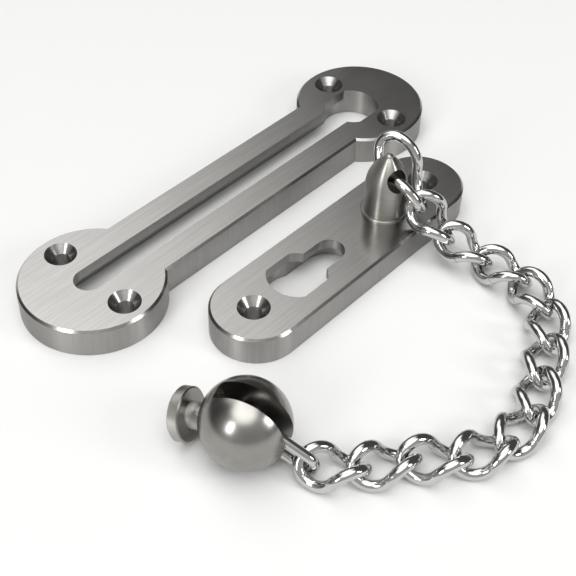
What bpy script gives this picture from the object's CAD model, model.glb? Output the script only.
"""Door chain guard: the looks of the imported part. Metres, in the part's own frame."""
import math

import bpy
from mathutils import Matrix, Vector

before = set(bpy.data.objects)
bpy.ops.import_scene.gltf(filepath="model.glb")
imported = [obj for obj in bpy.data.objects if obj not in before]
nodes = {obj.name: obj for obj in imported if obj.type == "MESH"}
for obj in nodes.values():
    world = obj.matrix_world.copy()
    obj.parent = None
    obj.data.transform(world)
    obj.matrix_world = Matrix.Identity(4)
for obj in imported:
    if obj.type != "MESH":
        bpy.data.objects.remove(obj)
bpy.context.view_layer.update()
MM = 0.001


# ---- camera ----
CAMERA_PLACE = (-176.0, -133.8, 210.0)  # millimetres
CAMERA_HEADING = -49.1
CAMERA_TILT = 45.02
CAMERA_ROLL = 2.1


def add_camera():
    """The photograph's view: down at 45 degrees, with a small roll."""
    data = bpy.data.cameras.new("camera")
    data.lens = 70.9
    data.sensor_width = 36
    data.clip_start = 0.01
    camera = bpy.data.objects.new("camera", data)
    bpy.context.scene.collection.objects.link(camera)
    place = Matrix.Translation(Vector(CAMERA_PLACE) * MM)
    heading = Matrix.Rotation(math.radians(CAMERA_HEADING), 4, "Z")
    tilt = Matrix.Rotation(math.radians(CAMERA_TILT), 4, "X")
    roll = Matrix.Rotation(math.radians(CAMERA_ROLL), 4, "Z")
    camera.matrix_world = place @ heading @ tilt @ roll
    bpy.context.scene.camera = camera


# ---- light ----
# compass direction from the object to the camera
VIEW_AZIMUTH = 220.9
# the room's glows: azimuth, elevation, the cosines at which it starts and would be full, brightness
ROOM_GLOWS = (
    (69, 54, 0.86, 1.02, 2.2),
    (215, 79, 0.80, 0.96, 3.2),
    (VIEW_AZIMUTH, 20, 0.1, 0.8, 0.4),
)
ROOM_LEVEL = 0.09
# two equal lamps: how far each stands round from the camera, in degrees, and their shared sizes
BOX_TURNS = (("left_box", -40), ("right_box", 68))
BOX_ELEVATION = 30
BOX_DISTANCE = 0.8
BOX_WIDTH = 0.16
BOX_HEIGHT = 0.3
BOX_POWER = 1.6
BOX_AIM = Vector((0, -0.02, 0))


def direction(azimuth, elevation):
    """The unit vector that points to a place in the room, from degrees."""
    a = math.radians(azimuth)
    e = math.radians(elevation)
    return Vector((math.cos(e) * math.cos(a), math.cos(e) * math.sin(a), math.sin(e)))


def soft_box(name, azimuth):
    """A rectangular lamp that faces the middle of the object."""
    data = bpy.data.lights.new(name, "AREA")
    data.shape = "RECTANGLE"
    data.size = BOX_WIDTH
    data.size_y = BOX_HEIGHT
    data.energy = BOX_POWER
    lamp = bpy.data.objects.new(name, data)
    bpy.context.scene.collection.objects.link(lamp)
    side = direction(azimuth, BOX_ELEVATION)
    lamp.location = side * BOX_DISTANCE + BOX_AIM
    lamp.rotation_euler = side.to_track_quat("Z", "Y").to_euler()


def step(tree, value, low, high):
    """A smooth step from 0 at low to 1 at high."""
    node = tree.nodes.new("ShaderNodeMapRange")
    node.interpolation_type = "SMOOTHSTEP"
    node.inputs["From Min"].default_value = low
    node.inputs["From Max"].default_value = high
    tree.links.new(value, node.inputs["Value"])
    return node.outputs["Result"]


def combine(tree, operation, first, second):
    """A math node on two values, each a number or another node's output."""
    node = tree.nodes.new("ShaderNodeMath")
    node.operation = operation
    for socket, value in zip(node.inputs, (first, second)):
        if isinstance(value, (int, float)):
            socket.default_value = value
        else:
            tree.links.new(value, socket)
    return node.outputs["Value"]


def facing(tree, ray, azimuth, elevation):
    """How closely a ray points in a direction: the cosine of the angle between them."""
    node = tree.nodes.new("ShaderNodeVectorMath")
    node.operation = "DOT_PRODUCT"
    tree.links.new(ray, node.inputs[0])
    node.inputs[1].default_value = direction(azimuth, elevation)
    return node.outputs["Value"]


def add_room():
    """A white room: bright overhead, fairly bright behind the camera, dark low down at the back."""
    world = bpy.data.worlds.new("room")
    bpy.context.scene.world = world
    world.use_nodes = True
    tree = world.node_tree
    ray = tree.nodes.new("ShaderNodeTexCoord").outputs["Generated"]
    total = ROOM_LEVEL
    for azimuth, elevation, start, full, brightness in ROOM_GLOWS:
        shape = step(tree, facing(tree, ray, azimuth, elevation), start, full)
        total = combine(tree, "ADD", combine(tree, "MULTIPLY", shape, brightness), total)
    background = tree.nodes["Background"]
    background.inputs["Color"].default_value = (1.0, 0.995, 0.98, 1)
    tree.links.new(total, background.inputs["Strength"])


def add_lights():
    for name, turn in BOX_TURNS:
        soft_box(name, VIEW_AZIMUTH + turn)
    bpy.context.scene.view_settings.view_transform = "Standard"


FLOOR_HALF = 0.75
FLOOR_DROP = 0.1 * MM


def add_floor():
    """The white table, a hair below the plates' backs."""
    mesh = bpy.data.meshes.new("floor")
    corners = [(x * FLOOR_HALF, y * FLOOR_HALF, 0) for x, y in ((-1, -1), (1, -1), (1, 1), (-1, 1))]
    mesh.from_pydata(corners, [], [(0, 1, 2, 3)])
    floor = bpy.data.objects.new("floor", mesh)
    bpy.context.scene.collection.objects.link(floor)
    floor.location = (0, 0, -FLOOR_DROP)
    material = bpy.data.materials.new("white_table")
    material.use_nodes = True
    shader = material.node_tree.nodes["Principled BSDF"]
    shader.inputs["Base Color"].default_value = (0.70, 0.70, 0.70, 1)
    shader.inputs["Roughness"].default_value = 0.6
    mesh.materials.append(material)


# ---- materials ----
# the part of a noise's range over which tint and roughness change
NOISE_LOW = 0.3
NOISE_HIGH = 0.7
CLOUD_SCALE = 60
ROUGHNESS_SPREAD = 0.15
RELIEF_DEPTH = 0.02 * MM


def metal(name, color, roughness, grain, vary=0.06, bump=0.1, upright=0):
    """Plated metal: fine grain stretched by the three grain scales, with faint clouds.

    Upright, from 0 to 1, draws the highlights out along z, as on a turned side.
    """
    material = bpy.data.materials.new(name)
    material.use_nodes = True
    tree = material.node_tree
    shader = tree.nodes["Principled BSDF"]
    shader.inputs["Metallic"].default_value = 1
    place = tree.nodes.new("ShaderNodeTexCoord")
    stretch = tree.nodes.new("ShaderNodeMapping")
    stretch.inputs["Scale"].default_value = grain
    tree.links.new(place.outputs["Object"], stretch.inputs["Vector"])
    lines = tree.nodes.new("ShaderNodeTexNoise")
    lines.inputs["Scale"].default_value = 1
    lines.inputs["Detail"].default_value = 4
    tree.links.new(stretch.outputs["Vector"], lines.inputs["Vector"])
    clouds = tree.nodes.new("ShaderNodeTexNoise")
    clouds.inputs["Scale"].default_value = CLOUD_SCALE
    clouds.inputs["Detail"].default_value = 3
    tree.links.new(place.outputs["Object"], clouds.inputs["Vector"])

    tint = tree.nodes.new("ShaderNodeValToRGB")
    dark = [c * (1 - vary) for c in color]
    light = [min(1, c * (1 + vary)) for c in color]
    tint.color_ramp.elements[0].position = NOISE_LOW
    tint.color_ramp.elements[0].color = (*dark, 1)
    tint.color_ramp.elements[1].position = NOISE_HIGH
    tint.color_ramp.elements[1].color = (*light, 1)
    tree.links.new(lines.outputs["Fac"], tint.inputs["Fac"])
    tree.links.new(tint.outputs["Color"], shader.inputs["Base Color"])

    gloss = tree.nodes.new("ShaderNodeMapRange")
    gloss.inputs["From Min"].default_value = NOISE_LOW
    gloss.inputs["From Max"].default_value = NOISE_HIGH
    gloss.inputs["To Min"].default_value = roughness * (1 - ROUGHNESS_SPREAD)
    gloss.inputs["To Max"].default_value = roughness * (1 + ROUGHNESS_SPREAD)
    tree.links.new(clouds.outputs["Fac"], gloss.inputs["Value"])
    tree.links.new(gloss.outputs["Result"], shader.inputs["Roughness"])

    relief = tree.nodes.new("ShaderNodeBump")
    relief.inputs["Strength"].default_value = bump
    relief.inputs["Distance"].default_value = RELIEF_DEPTH
    tree.links.new(lines.outputs["Fac"], relief.inputs["Height"])
    tree.links.new(relief.outputs["Normal"], shader.inputs["Normal"])

    if upright:
        around = tree.nodes.new("ShaderNodeTangent")
        around.direction_type = "RADIAL"
        around.axis = "Z"
        tree.links.new(around.outputs["Tangent"], shader.inputs["Tangent"])
        shader.inputs["Anisotropic"].default_value = upright
        # a quarter turn, from around z to along it
        shader.inputs["Anisotropic Rotation"].default_value = 0.25
    return material


def dress(names, material):
    """Gives some nodes one material."""
    for name in names:
        mesh = nodes[name].data
        mesh.materials.clear()
        mesh.materials.append(material)


# a face with less of its normal than this along z counts as upright
STEEP = 0.5


def dress_sides(names, material):
    """Gives the upright faces of some nodes a second material."""
    for name in names:
        mesh = nodes[name].data
        mesh.materials.append(material)
        for face in mesh.polygons:
            if abs(face.normal.z) < STEEP:
                face.material_index = 1


LINKS = ["anchor_link"] + [f"chain_link_{k:02d}" for k in range(1, 13)]

add_camera()
add_room()
add_lights()
add_floor()
satin_plate = metal("satin_plate", (0.37, 0.365, 0.355), 0.20, (60, 1500, 1500))
satin_side = metal("satin_side", (0.36, 0.355, 0.345), 0.40, (1500, 1500, 100), upright=0.9)
satin_turned = metal("satin_turned", (0.35, 0.34, 0.32), 0.34, (200, 200, 3000), upright=0.9)
satin_ball = metal("satin_ball", (0.30, 0.293, 0.275), 0.26, (300, 300, 300))
polished = metal("polished", (0.55, 0.55, 0.54), 0.08, (400, 400, 400), vary=0.03, bump=0.05)
plain_steel = metal("plain_steel", (0.45, 0.45, 0.45), 0.35, (300, 300, 2000))
dress(["track_plate", "base_plate"], satin_plate)
dress_sides(["track_plate", "base_plate"], satin_side)
dress(["post", "slider_button"], satin_turned)
dress(["ball", "ball_pin"], satin_ball)
dress(LINKS + ["swivel_link"], polished)
dress(["post_screw"], plain_steel)

bpy.context.view_layer.update()
